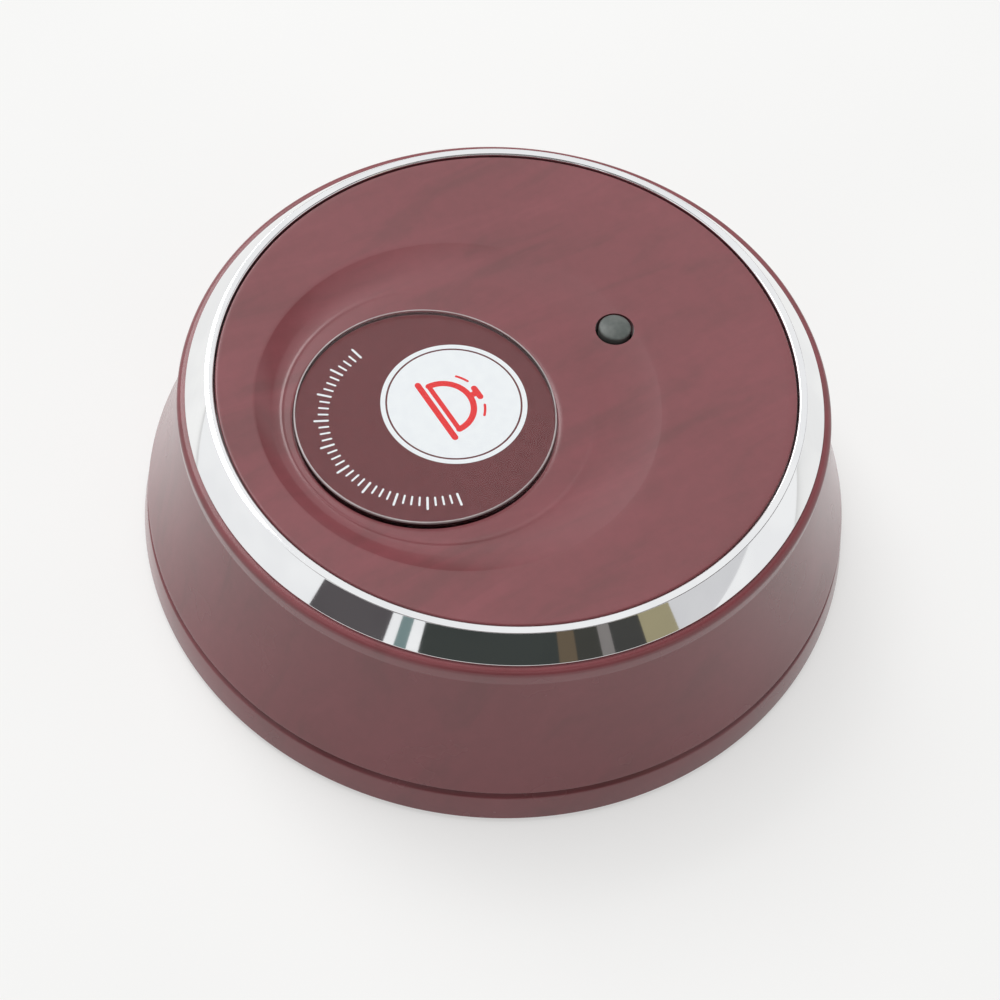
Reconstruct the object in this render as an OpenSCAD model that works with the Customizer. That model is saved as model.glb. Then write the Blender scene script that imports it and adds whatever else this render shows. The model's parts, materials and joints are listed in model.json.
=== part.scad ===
// Wireless waiter call button: a round table-top puck with one call key.
// Millimetres, +Z up. The origin is on the table under the middle of the puck.
// +Y runs from the call key towards the signal lamp, so the user sits at -Y.

/* [Housing] */
// How far the lip stands out beyond the bezel
lip_margin = 0.75; // [0.6:0.05:1.2]
// Height of the lip's upright band
lip_h = 1.5; // [1:0.1:2.5]
// Radius that rounds the lip's upper edge
lip_round = 0.55; // [0.3:0.05:0.7]
// How far the skirt spreads from the lip down to the parting groove
skirt_flare = 3.6; // [2.4:0.1:5]
// How far the skirt is drawn in halfway down
skirt_sag = 0.25; // [0:0.05:0.8]
// Wall of the skirt
skirt_wall = 2; // [1.4:0.1:2.2]
// Thickness of the ledge that carries the bezel and the panel
ledge_t = 1.8; // [1.2:0.1:2.4]
// How far that ledge reaches in past the bezel's inner edge
ledge_in = 2.2; // [2:0.1:2.4]

/* [Bezel] */
// Inner diameter of the chromed bezel
bezel_d = 50; // [47:0.1:54]
// Width of the bezel's flat crest
bezel_land = 0.7; // [0.4:0.1:1.2]
// Width of the bezel from its inner edge to its lower outer edge
bezel_w = 2.5; // [2.2:0.1:2.6]
// Height of the bezel over its ledge
bezel_h = 2.15; // [1.8:0.05:2.4]
// Width of the rib that locates the bezel in the ledge
bezel_rib_w = 0.6; // [0.4:0.1:0.8]
// Depth of that rib
bezel_rib_h = 0.8; // [0.5:0.1:1]

/* [Top panel] */
// Gap all round between panel and bezel
panel_gap = 0.25; // [0.15:0.05:0.4]
// How far the panel lies below the bezel's crest
panel_drop = 0.2; // [0:0.05:0.4]
// Radius that rounds the panel's upper edge
panel_round = 0.4; // [0.2:0.05:0.6]
// Diameter of the three pegs that locate the panel
peg_d = 1.4; // [1:0.1:1.5]
// Length of the pegs below the panel's rim
peg_h = 2.4; // [1.6:0.1:3]
// How far the panel's face sinks from its edge to its middle
panel_sag = 1; // [0.6:0.1:1.2]

/* [Dish] */
// Diameter of the dish at the panel's face
dish_d = 34.6; // [33:0.1:34.8]
// Width of the panel's face in front of the dish
dish_front = 2.65; // [2.5:0.05:3.4]
// Diameter of the dish's flat floor
dish_floor_d = 26; // [25:0.1:27]
// How far the dish's floor lies nearer the user than its rim
dish_floor_shift = 2.1; // [1.6:0.1:2.4]
// Thickness of the panel under the dish
dish_wall = 1.5; // [1.2:0.1:1.7]
// How much steeper the dish's wall is at its rim than at its foot
dish_curve = 2.3; // [1.6:0.1:3]
// Share of the wall's width that rounds its rim
dish_soft = 0.05; // [0.03:0.01:0.1]
// How far the wall's foot dips below the floor, as a share of the depth
dish_dip = 0.05; // [0:0.01:0.08]
// Depth of the key's round well below the dish's floor
well_depth = 0.7; // [0.6:0.05:0.75]

/* [Call key] */
// How far the call key lies nearer the user than the dish's floor
key_shift = 1.25; // [1:0.05:1.7]
// Diameter of the key's moulded cup
key_d = 19; // [18:0.1:19.4]
// Wall of the key's cup
key_wall = 1.2; // [0.9:0.1:1.6]
// Thickness of the cup's top plate
key_plate_t = 0.7; // [0.5:0.05:0.9]
// Width of the flange that keeps the key in the panel
key_flange_w = 1; // [0.6:0.1:1.4]
// Thickness of that flange
key_flange_t = 0.8; // [0.6:0.05:0.9]
// Clearance round the key in its hole
key_gap = 0.15; // [0.1:0.05:0.3]
// Travel of the key
key_travel = 0.35; // [0.2:0.05:0.35]
// Gap left between the window disc and the dish's floor once the key is pressed
key_clear = 0.15; // [0.1:0.05:0.25]
// How far the window lies below the bezel's crest
key_sunk = 0.5; // [0.3:0.05:0.7]
// Diameter of the clear window disc
window_d = 22.2; // [21:0.1:22.8]
// Thickness of the clear window disc
window_t = 0.8; // [0.7:0.05:0.9]
// Thickness of the printed label disc
label_t = 0.15; // [0.1:0.05:0.2]

/* [Signal lamp] */
// Distance of the lamp from the panel's edge
led_in = 13.7; // [13:0.05:15]
// Diameter of the lamp's lens
led_d = 3; // [2.8:0.1:3.4]
// Height of the lamp over the board
led_h = 5.1; // [4.9:0.05:5.2]
// Height of the low dome in which the lens ends
led_dome = 0.15; // [0.1:0.05:0.3]
// Clearance round the lens in its hole
led_gap = 0.25; // [0.15:0.05:0.3]

/* [Circuit board] */
// How far the board's edge lies inside the ledge's inner edge
board_in = 0.4; // [0.2:0.1:1]
// Thickness of the board
board_t = 1.2; // [0.8:0.1:1.2]
// Height of the push switch from board to plunger
switch_h = 3.5; // [3.4:0.05:3.8]
// Width of the push switch
switch_w = 6; // [5.6:0.1:6.4]
// Diameter of the switch plunger
plunger_d = 3.5; // [3.1:0.1:3.6]
// Distance of the screws from the board's edge
screw_in = 2.4; // [2.1:0.1:3]
// Diameter of the screws' shanks
screw_d = 1.9; // [1.6:0.1:2.2]
// Diameter of the screws' heads
screw_head_d = 3.8; // [3.2:0.1:4]

/* [Battery] */
// Diameter of the 12 V cell
cell_d = 10.3; // [9.9:0.1:10.4]
// Length of the 12 V cell
cell_l = 28.2; // [27:0.1:28.8]
// Height of the cell over the base's floor
cell_lift = 0.3; // [0.2:0.05:1]
// Gap between the cell's holder and the heads of the screws in front of it
holder_gap = 1; // [0.6:0.1:1.6]
// Wall of the cell holder
holder_wall = 1.1; // [0.8:0.1:1.3]
// Thickness of the holder's roof over the cell
roof_t = 0.5; // [0.4:0.05:0.6]

/* [Base] */
// How far the foot stands out beyond the skirt
foot_step = 0.6; // [0.4:0.1:1.6]
// Height of the parting groove above the table
parting_z = 3.6; // [3.4:0.1:4.2]
// Thickness of the base's floor
base_t = 1.8; // [1.4:0.1:1.85]
// Gap between the base and the skirt
parting_gap = 0.15; // [0.1:0.05:0.3]
// How far the bayonet's lugs stand out from their ring
lug_reach = 1.3; // [1:0.1:1.8]
// Wall of the bayonet ring
bayonet_wall = 1.6; // [1.2:0.1:2]
// Sideways clearance of the bayonet
bayonet_gap = 0.3; // [0.2:0.05:0.4]
// Angle that the base turns to unlock
unlock_deg = 22; // [19:1:28]
// Diameter of a rubber foot
pad_d = 8; // [6:0.1:8.4]
// How far the rubber feet stand out of the base
pad_proud = 0.4; // [0.3:0.05:0.45]
// Distance of a rubber foot from the edge of the base
pad_edge = 1.95; // [1.5:0.05:4]
// Length of the coin slot
slot_l = 16; // [12:0.5:22]
// Width of the coin slot
slot_w = 2.2; // [1.8:0.1:2.6]
// Depth of the coin slot
slot_depth = 0.8; // [0.5:0.05:1]

/* [Hidden] */
fine = 180;
mid = 64;
eps = 0.01;
slip = 0.05;

// Heights, from the table up through cell, board, switch and key to the crest
pad_t = 1;
floor_z = pad_proud + base_t;
cell_gap = 0.1;
cell_z = floor_z + cell_lift + cell_d / 2;
board_low_z = cell_z + cell_d / 2 + cell_gap + roof_t;
board_z = board_low_z + board_t;
plunger_z = board_z + switch_h;
key_under_z = plunger_z + slip;
label_z = key_under_z + key_plate_t;
window_z = label_z + label_t;
overall_h = window_z + window_t + key_sunk;
ledge_z = overall_h - bezel_h;
panel_z = overall_h - panel_drop;
well_z = label_z - key_travel - key_clear;
dish_floor_z = well_z + well_depth;
dish_under_z = well_z - dish_wall;
flange_z = dish_under_z - 2 * slip;

// Radii
bezel_r = bezel_d / 2;
ledge_r = bezel_r - ledge_in;
panel_r = bezel_r - panel_gap;
lip_r = bezel_r + bezel_w + lip_margin;
skirt_low_r = lip_r + skirt_flare;
foot_r = skirt_low_r + foot_step;
pad_r = foot_r - pad_edge - pad_d / 2;
key_r = key_d / 2;
key_hole_r = key_r + key_gap;
well_r = window_d / 2 + key_gap;
board_r = ledge_r - board_in;
screw_r = board_r - screw_in;

// Places along Y, from the panel's edge: the dish, the key in it and the lamp
dish_y = dish_front + dish_d / 2 - panel_r;
dish_floor_y = dish_y - dish_floor_shift;
key_y = dish_floor_y - key_shift;
led_y = panel_r - led_in;

// Screws: one behind the lamp and two in front of the cell's holder
screw_angles = [90, 235, 305];
holder_half_y = cell_d / 2 + cell_gap + holder_wall;
cell_y = screw_r * sin(screw_angles[1]) + screw_head_d / 2 + holder_gap + holder_half_y;
holder_back_y = cell_y + holder_half_y;

groove = 0.4;
skirt_bottom_z = parting_z + parting_gap;
skirt_top_z = ledge_z - lip_h;
skirt_steps = 12;

// The skirt's outer radius at height z: a straight cone drawn in by the sag
function skirt_t(z) = (z - skirt_bottom_z - groove) / (skirt_top_z - skirt_bottom_z - groove);
function skirt_r(z) =
    let (t = skirt_t(z))
    skirt_low_r + (lip_r - skirt_low_r) * t - 4 * skirt_sag * t * (1 - t);

// Points of a quarter round from angle a to b about centre c
function arc(c, r, a, b, n = 6) =
    [for (i = [0 : n]) let (w = a + (b - a) * i / n) c + r * [cos(w), sin(w)]];

// A solid block swept from angle a1 to a2 round the Z axis
module sector(r1, r2, z1, z2, a1, a2) {
    rotate([0, 0, a1])
        rotate_extrude(angle = a2 - a1, $fn = fine)
            translate([r1, z1]) square([r2 - r1, z2 - z1]);
}

// Bayonet: three lugs on the base turn in over three lugs in the skirt
bayonet_n = 3;
lug_h = 1.4;
lug_play_z = 0.3;
catch_z = skirt_bottom_z + 0.85;
catch_h = 1.5;
catch_half_deg = 9;
free_deg = 5;
lug_deg = 2 * (unlock_deg - catch_half_deg - free_deg);
lug_z = catch_z + catch_h + lug_play_z;
lug_r = skirt_r(lug_z + lug_h) - skirt_wall - bayonet_gap;
bayonet_r = lug_r - lug_reach;
stop_gap_deg = 0.6;
stop_deg = 4;
bayonet_top_z = lug_z + lug_h + 0.2;

module housing_skirt() {
    outer = [for (i = [0 : skirt_steps])
        let (z = skirt_bottom_z + groove + (skirt_top_z - skirt_bottom_z - groove) * i / skirt_steps)
        [skirt_r(z), z]];
    inner_top_z = ledge_z - ledge_t;
    inner = [for (i = [0 : skirt_steps])
        let (z = inner_top_z + (skirt_bottom_z - inner_top_z) * i / skirt_steps)
        [skirt_r(z) - skirt_wall, z]];
    lip = arc([lip_r - lip_round, ledge_z - lip_round], lip_round, 0, 90);
    color("#7a4448")
    difference() {
        union() {
            rotate_extrude($fn = fine)
                polygon(concat(
                    [[skirt_low_r - groove, skirt_bottom_z]],
                    outer, lip,
                    [[ledge_r, ledge_z], [ledge_r, inner_top_z]],
                    inner));
            for (i = [0 : bayonet_n - 1])
                rotate([0, 0, i * 360 / bayonet_n]) catch_lug();
        }
        bezel_groove();
        for (i = [0 : peg_n - 1])
            peg_place(i)
                translate([0, 0, ledge_z - ledge_t - 1])
                    cylinder(d = peg_d + 4 * slip, h = ledge_t + 2, $fn = mid);
    }
}

// One catch inside the skirt, with the stop that the base's lug turns against
module catch_lug() {
    r_in = bayonet_r + bayonet_gap;
    r_out = skirt_r(lug_z + lug_h) - skirt_wall / 2;
    a_stop = lug_deg / 2 + stop_gap_deg;
    sector(r_in, r_out, catch_z, catch_z + catch_h, -catch_half_deg, a_stop + stop_deg);
    sector(r_in, r_out, catch_z, lug_z + lug_h, a_stop, a_stop + stop_deg);
}

bezel_rib_r = bezel_r + 0.7;

module bezel_groove() {
    rotate_extrude($fn = fine)
        translate([bezel_rib_r - 2 * slip, ledge_z - bezel_rib_h - 2 * slip])
            square([bezel_rib_w + 4 * slip, bezel_rib_h + 2 * slip + 1]);
}

module chrome_ring() {
    soft = 0.15;
    low = 0.2;
    color("#d9dcde")
    rotate_extrude($fn = fine)
        polygon(concat(
            [[bezel_r, ledge_z]],
            arc([bezel_r + soft, overall_h - soft], soft, 180, 90, 4),
            [[bezel_r + bezel_land, overall_h],
             [bezel_r + bezel_w, ledge_z + low],
             [bezel_r + bezel_w, ledge_z],
             [bezel_rib_r + bezel_rib_w, ledge_z],
             [bezel_rib_r + bezel_rib_w, ledge_z - bezel_rib_h],
             [bezel_rib_r, ledge_z - bezel_rib_h],
             [bezel_rib_r, ledge_z]]));
}

// Height of the panel's face at distance r from the middle: a shallow bowl
function face_z(r) = panel_z - panel_sag * (1 - pow(r / panel_r, 2));

// The dish is lofted from its rim on that face to its smaller level floor, which
// lies nearer the user. So its wall is long and low at the lamp and short and
// steep in front. It dips a little at its foot, and the floor starts with an edge.
dish_rings = 14;
dish_sides = 72;
dish_skin = 0.5;

function dish_s(u) =
    (1 - pow(1 - u, dish_curve) + 9 * dish_dip * pow(u, 3) * (1 - u)) * (1 - exp(-u / dish_soft));
function dish_point(u, a, skin) =
    let (r = (dish_d + (dish_floor_d - dish_d) * u) / 2 + skin)
    [r * cos(a), dish_y + (dish_floor_y - dish_y) * u + r * sin(a)];
function dish_z(u, p) = face_z(norm(p)) + (dish_floor_z - face_z(norm(p))) * dish_s(u);

// The loft's solid, grown outwards by skin and sunk by drop, closed at top_z
module dish_loft(skin, drop, top_z) {
    angles = [for (k = [0 : dish_sides - 1]) 360 * k / dish_sides];
    rim = [for (a = angles) let (p = dish_point(0, a, skin)) [p.x, p.y, top_z]];
    wall = [for (i = [0 : dish_rings]) let (u = i / dish_rings)
        for (a = angles) let (p = dish_point(u, a, skin)) [p.x, p.y, dish_z(u, p) - drop]];
    n = dish_rings + 2;
    sides = [for (i = [0 : n - 2]) for (k = [0 : dish_sides - 1])
        let (a = i * dish_sides + k, b = i * dish_sides + (k + 1) % dish_sides)
        each [[a, b, b + dish_sides], [a, b + dish_sides, a + dish_sides]]];
    top = [[for (k = [dish_sides - 1 : -1 : 0]) k]];
    bottom = [[for (k = [0 : dish_sides - 1]) (n - 1) * dish_sides + k]];
    polyhedron(concat(rim, wall), concat(top, sides, bottom));
}

peg_n = 3;
peg_r = bezel_r - 1.15;

module peg_place(i) {
    rotate([0, 0, 60 + i * 120]) translate([peg_r, 0, 0]) children();
}

boss_d = 4.6;
boss_up = 1;
boss_hole_depth = 2.7;

module screw_place(i) {
    rotate([0, 0, screw_angles[i]]) translate([screw_r, 0, 0]) children();
}

// Guides under the panel that keep the key from turning
guide_w = 0.7;
tab_w = 2;
tab_reach = 1.1;

module key_guides() {
    for (side = [-1, 1])
        translate([
            side * (tab_w / 2 + key_gap + guide_w / 2) - guide_w / 2,
            key_y + key_r + key_flange_w + key_gap,
            flange_z - key_flange_t])
            cube([guide_w, tab_reach, key_flange_t + 2 * slip + dish_wall / 2]);
}

module top_panel() {
    face_r = panel_r - panel_round;
    face_steps = 12;
    color("#7a4448")
    difference() {
        union() {
            rotate_extrude($fn = fine)
                polygon(concat(
                    [[0, ledge_z], [panel_r, ledge_z]],
                    arc([face_r, face_z(face_r) - panel_round], panel_round, 0, 90),
                    [for (i = [face_steps - 1 : -1 : 0])
                        let (r = face_r * i / face_steps) [r, face_z(r)]]));
            dish_loft(dish_skin, dish_wall, panel_z - 1);
            translate([0, key_y, dish_under_z])
                cylinder(r = well_r + dish_wall, h = dish_wall + well_depth / 2, $fn = fine);
            for (i = [0 : 2])
                screw_place(i)
                    translate([0, 0, board_z])
                        cylinder(d = boss_d, h = ledge_z + boss_up - board_z, $fn = mid);
            for (i = [0 : peg_n - 1])
                peg_place(i)
                    translate([0, 0, ledge_z - peg_h])
                        cylinder(d = peg_d, h = peg_h + 0.5, $fn = mid);
            key_guides();
        }
        dish_loft(0, 0, panel_z + 1);
        translate([0, key_y, well_z])
            cylinder(r = well_r, h = well_depth + 1, $fn = fine);
        translate([0, key_y, dish_under_z - 1])
            cylinder(r = key_hole_r, h = dish_wall + 2, $fn = fine);
        translate([0, led_y, board_z])
            cylinder(r = led_d / 2 + led_gap, h = panel_z - board_z + 1, $fn = mid);
        for (i = [0 : 2])
            screw_place(i)
                translate([0, 0, board_z - 1])
                    cylinder(d = screw_d + 2 * slip, h = boss_hole_depth + 1, $fn = mid);
    }
}

module key_cup() {
    rib_n = 6;
    rib_w = 0.8;
    rib_r = switch_w * 0.8;
    cup_low_z = flange_z - key_flange_t;
    color("#6d3f42")
    translate([0, key_y, 0]) {
        rotate_extrude($fn = fine)
            polygon([
                [0, key_under_z], [key_r - key_wall, key_under_z],
                [key_r - key_wall, cup_low_z], [key_r + key_flange_w, cup_low_z],
                [key_r + key_flange_w, flange_z], [key_r, flange_z],
                [key_r, label_z], [0, label_z]]);
        for (i = [0 : rib_n - 1])
            rotate([0, 0, 30 + i * 360 / rib_n])
                translate([rib_r, -rib_w / 2, key_under_z - 2])
                    cube([key_r - key_wall / 2 - rib_r, rib_w, 2 + key_plate_t / 2]);
        translate([-tab_w / 2, key_r, cup_low_z])
            cube([tab_w, key_flange_w + tab_reach, key_flange_t]);
    }
}

module key_label() {
    color("#6e5355")
    translate([0, key_y, label_z])
        cylinder(r = window_d / 2 - 0.15, h = label_t, $fn = fine);
}

module key_window() {
    r = window_d / 2;
    bevel = 0.2;
    top_z = window_z + window_t;
    color("#e8eef0", 0.4)
    translate([0, key_y, 0])
        rotate_extrude($fn = fine)
            polygon([[0, window_z], [r, window_z], [r, top_z - bevel],
                [r - bevel, top_z], [0, top_z]]);
}

lead_pitch = 2.54;
lead_w = 0.5;

// Radius of a bow that spans a rim of radius r and rises by h
function bow(r, h) = (r * r + h * h) / (2 * h);

module led_body() {
    r = led_d / 2;
    collar_r = r + 0.4;
    collar_h = 1;
    dome_r = bow(r, led_dome);
    color("#4a5350", 0.8)
    translate([0, led_y, board_z])
        rotate_extrude($fn = mid)
            polygon(concat(
                [[0, 0], [collar_r, 0], [collar_r, collar_h], [r, collar_h]],
                arc([0, led_h - dome_r], dome_r, 90 - asin(r / dome_r), 90, 8)));
}

module led_leads() {
    color("#c9ccd0")
    for (side = [-1, 1])
        translate([side * lead_pitch / 2 - lead_w / 2, led_y - lead_w / 2, board_low_z - 0.9])
            cube([lead_w, lead_w, board_t + 0.9]);
}

contact_room = 1.3;
contact_x = cell_l / 2 + contact_room;
contact_t = 0.4;
contact_w = 6;
contact_tab_w = 1.2;

module circuit_board() {
    color("#2f6b3f")
    difference() {
        translate([0, 0, board_low_z]) cylinder(r = board_r, h = board_t, $fn = fine);
        for (i = [0 : 2])
            screw_place(i)
                translate([0, 0, board_low_z - 1])
                    cylinder(d = screw_d + 6 * slip, h = board_t + 2, $fn = mid);
        for (side = [-1, 1]) {
            translate([side * lead_pitch / 2, led_y, board_low_z - 1])
                cylinder(d = lead_w * 2, h = board_t + 2, $fn = 24);
            translate([side * (contact_x + contact_t / 2), cell_y, board_z])
                cube([contact_t + 4 * slip, contact_tab_w + 4 * slip, 2 * board_t + 1], center = true);
            rotate([0, 0, 90 + side * antenna_half_deg])
                translate([antenna_r, 0, board_low_z - 1])
                    cylinder(d = antenna_d + 4 * slip, h = board_t + 2, $fn = 24);
        }
    }
}

frame_t = 0.3;
plunger_rise = key_travel + 0.45;
switch_top_z = plunger_z - plunger_rise;
cavity_r = plunger_d / 2 + 0.45;
cavity_z = board_z + 0.5;
dome_h = key_travel + 0.25;
dome_t = 0.12;

module switch_body() {
    color("#26282a")
    translate([0, key_y, 0])
        difference() {
            translate([-switch_w / 2, -switch_w / 2, board_z])
                cube([switch_w, switch_w, switch_top_z - frame_t - board_z]);
            translate([0, 0, cavity_z])
                cylinder(r = cavity_r, h = switch_h, $fn = mid);
        }
}

module switch_frame() {
    ear_w = 1.6;
    ear_h = 1.4;
    ear_t = 0.25;
    color("#b9bec2")
    translate([0, key_y, 0])
        difference() {
            union() {
                translate([-switch_w / 2, -switch_w / 2, switch_top_z - frame_t])
                    cube([switch_w, switch_w, frame_t]);
                for (side = [0, 180])
                    rotate([0, 0, side])
                        translate([-ear_w / 2, switch_w / 2, switch_top_z - ear_h])
                            cube([ear_w, ear_t, ear_h]);
            }
            translate([0, 0, switch_top_z - 1])
                cylinder(d = plunger_d + 4 * slip, h = 2, $fn = mid);
        }
}

// Side view of a gull-wing leg that rises from the board and runs in at x = 0
module gull_wing(reach, rise, t) {
    polygon([[0, rise], [reach / 3, rise], [reach * 0.55, t], [reach, t],
        [reach, 0], [reach * 0.4, 0], [reach * 0.22, rise - t], [0, rise - t]]);
}

// Legs of the switch, soldered to the board's face
module switch_legs() {
    leg_w = 0.7;
    leg_t = 0.2;
    leg_rise = 0.9;
    leg_reach = 1.5;
    leg_y = switch_w * 0.375;
    color("#c9ccd0")
    translate([0, key_y, 0])
        for (sx = [-1, 1], sy = [-1, 1])
            translate([0, sy * leg_y - leg_w / 2, board_z])
                mirror([sx < 0 ? 1 : 0, 0, 0])
                    translate([switch_w / 2, leg_w, 0])
                        rotate([90, 0, 0])
                            linear_extrude(leg_w)
                                gull_wing(leg_reach, leg_rise, leg_t);
}

module snap_dome() {
    rim_r = cavity_r - 0.2;
    in_r = rim_r - dome_t;
    in_h = dome_h - dome_t;
    out_bow = bow(rim_r, dome_h);
    in_bow = bow(in_r, in_h);
    color("#c2a25a")
    translate([0, key_y, cavity_z])
        rotate_extrude($fn = mid)
            polygon(concat(
                arc([0, dome_h - out_bow], out_bow, 90 - asin(rim_r / out_bow), 90, 8),
                arc([0, in_h - in_bow], in_bow, 90, 90 - asin(in_r / in_bow), 8)));
}

module switch_plunger() {
    r = plunger_d / 2;
    nub_r = 0.7;
    collar_z = switch_top_z - frame_t - slip;
    nub_z = cavity_z + dome_h + slip;
    color("#e7e2d6")
    translate([0, key_y, 0])
        rotate_extrude($fn = mid)
            polygon([
                [0, nub_z], [nub_r, nub_z], [nub_r, collar_z - 1], [r + 0.25, collar_z - 1],
                [r + 0.25, collar_z], [r, collar_z], [r, plunger_z], [0, plunger_z]]);
}

module battery_cell() {
    nub_r = 2;
    nub_l = 1;
    soft = 0.5;
    r = cell_d / 2;
    color("#b8402f")
    translate([-cell_l / 2, cell_y, cell_z])
        rotate([0, 90, 0])
            rotate_extrude($fn = fine)
                polygon([
                    [0, 0], [r - soft, 0], [r, soft], [r, cell_l - nub_l - soft],
                    [r - soft, cell_l - nub_l], [nub_r, cell_l - nub_l],
                    [nub_r, cell_l], [0, cell_l]]);
}

// Open cradle under the board: its sides grip the cell past its middle
module battery_holder() {
    half_x = contact_x + contact_t + slip + holder_wall;
    low_z = cell_z - cell_d * 0.18;
    color("#303336")
    difference() {
        translate([-half_x, cell_y - holder_half_y, low_z])
            cube([2 * half_x, 2 * holder_half_y, board_low_z - low_z]);
        translate([-cell_l / 2 - cell_gap, cell_y, cell_z])
            rotate([0, 90, 0])
                cylinder(d = cell_d + 2 * cell_gap, h = cell_l + 2 * cell_gap, $fn = fine);
        for (side = [-1, 1])
            translate([side * (cell_l / 2 + contact_x + contact_t + slip) / 2,
                cell_y, cell_z + roof_t])
                cube([contact_x + contact_t + slip - cell_l / 2 + 2 * cell_gap,
                    contact_w + 1, 2 * cell_d], center = true);
    }
}

// Leaf contact: an upright plate with a solder tab, and a spring tongue that
// is folded back from its foot and bears on the end of the cell
module leaf_contact(reach) {
    foot_z = cell_z - cell_d * 0.3;
    t = contact_t;
    tongue_w = 4;
    tongue_h = 2.4;
    tip_x = contact_x - 0.3;
    bend_x = contact_x - t;
    ear_w = (contact_w - tongue_w) / 2;
    tab_foot = 1;
    tab_out = 0.5;
    plate = [
        [contact_x, board_low_z - slip], [contact_x + t, board_low_z - slip],
        [contact_x + t, foot_z], [bend_x, foot_z],
        [contact_x - reach, cell_z], [tip_x, cell_z + tongue_h],
        [tip_x + t / 2, cell_z + tongue_h - t],
        [contact_x - reach + t, cell_z], [bend_x + t / 2, foot_z + t],
        [contact_x, foot_z + t]];
    translate([0, cell_y + tongue_w / 2, 0])
        rotate([90, 0, 0])
            linear_extrude(tongue_w) polygon(plate);
    for (side = [-1, 1])
        translate([contact_x, cell_y + side * (tongue_w + ear_w) / 2 - ear_w / 2, foot_z + ear_w])
            cube([t, ear_w, board_low_z - slip - foot_z - ear_w]);
    translate([contact_x, cell_y - contact_tab_w / 2, board_low_z - tab_foot])
        cube([t, contact_tab_w, board_t + tab_foot + tab_out]);
}

module contact_positive() {
    color("#cfd2d6") leaf_contact(contact_x - cell_l / 2 - slip);
}

module contact_negative() {
    color("#cfd2d6") mirror([1, 0, 0]) leaf_contact(contact_x - cell_l / 2 - slip);
}

// Parts soldered under the board, in a row behind the cell's holder
part_gap = 1;
chip_l = 4.9;
chip_w = 3.9;
chip_h = 1.4;
chip_leg = 1.1;
chip_x = -9;
chip_y = holder_back_y + part_gap + chip_leg + chip_w / 2;

module encoder_chip() {
    color("#1d1f21")
    translate([chip_x - chip_l / 2, chip_y - chip_w / 2, board_low_z - 0.1 - chip_h])
        cube([chip_l, chip_w, chip_h]);
}

module chip_legs() {
    pitch = 1.27;
    leg_w = 0.4;
    leg_t = 0.2;
    leg_rise = 0.9;
    color("#c9ccd0")
    for (side = [-1, 1], i = [-1.5 : 1 : 1.5])
        translate([chip_x + i * pitch - leg_w / 2, chip_y, board_low_z])
            mirror([0, side < 0 ? 1 : 0, 0])
                translate([0, chip_w / 2, 0])
                    rotate([90, 0, 90])
                        linear_extrude(leg_w)
                            mirror([0, 1, 0]) gull_wing(chip_leg, leg_rise, leg_t);
}

module crystal_can() {
    can_l = 10.8;
    can_w = 4.6;
    can_h = 3.5;
    can_x = 12;
    brim = 0.4;
    brim_t = 0.5;
    color("#c3c7cb")
    translate([can_x, holder_back_y + part_gap + can_w / 2, board_low_z - can_h]) {
        linear_extrude(can_h - brim_t) crystal_outline(can_l - 2 * brim, can_w - 2 * brim);
        translate([0, 0, can_h - brim_t]) linear_extrude(brim_t) crystal_outline(can_l, can_w);
    }
}

module crystal_outline(l, w) {
    for (side = [-1, 1])
        translate([side * (l - w) / 2, 0]) circle(d = w, $fn = 48);
    square([l - w, w], center = true);
}

module rf_transistor() {
    body_l = 2.9;
    body_w = 1.3;
    body_h = 1;
    leg_w = 0.4;
    leg_l = 0.6;
    leg_t = 0.1;
    turn = 26;
    color("#1d1f21")
    rotate([0, 0, turn])
        translate([0, antenna_r - antenna_d - body_w, board_low_z - body_h - leg_t]) {
            translate([-body_l / 2, -body_w / 2, 0]) cube([body_l, body_w, body_h]);
            for (x = [-body_l / 3, body_l / 3])
                translate([x - leg_w / 2, -body_w / 2 - leg_l, body_h - leg_t])
                    cube([leg_w, body_w / 2 + leg_l, 2 * leg_t]);
            translate([-leg_w / 2, 0, body_h - leg_t])
                cube([leg_w, body_w / 2 + leg_l, 2 * leg_t]);
        }
}

// Resistors and capacitors, a column on each side of the lamp's leads
module chip_parts() {
    part_l = 2;
    part_w = 1.25;
    part_h = 0.6;
    rows = 4;
    row_pitch = 2.6;
    column_x = 4.2;
    color("#c8b48c")
    for (side = [-1, 1], i = [0 : rows - 1])
        translate([
            side * column_x - part_l / 2,
            holder_back_y + part_gap + i * row_pitch,
            board_low_z - part_h])
            cube([part_l, part_w, part_h]);
}

antenna_r = screw_r - 4.6;
antenna_d = 0.8;
antenna_half_deg = 38;
antenna_drop = 1.2;

module antenna_wire() {
    wire_z = board_low_z - antenna_drop;
    color("#b87333") {
        rotate([0, 0, 90 - antenna_half_deg])
            rotate_extrude(angle = 2 * antenna_half_deg, $fn = fine)
                translate([antenna_r, wire_z]) circle(d = antenna_d, $fn = 24);
        for (side = [-1, 1])
            rotate([0, 0, 90 + side * antenna_half_deg])
                translate([antenna_r, 0, wire_z]) {
                    sphere(d = antenna_d, $fn = 24);
                    cylinder(d = antenna_d, h = antenna_drop + board_t + 0.3, $fn = 24);
                }
    }
}

module board_screws() {
    head_h = 1.3;
    cross_w = 0.5;
    color("#c9ccd0")
    for (i = [0 : 2])
        screw_place(i)
            difference() {
                union() {
                    translate([0, 0, board_low_z - head_h])
                        cylinder(d1 = screw_head_d - 0.8, d2 = screw_head_d, h = head_h, $fn = mid);
                    translate([0, 0, board_low_z - slip])
                        cylinder(d = screw_d, h = board_t + boss_hole_depth - 2 * slip, $fn = mid);
                }
                for (a = [0, 90])
                    rotate([0, 0, a])
                        translate([-screw_head_d / 3, -cross_w / 2, board_low_z - head_h - eps])
                            cube([screw_head_d / 1.5, cross_w, 0.7]);
            }
}

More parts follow.
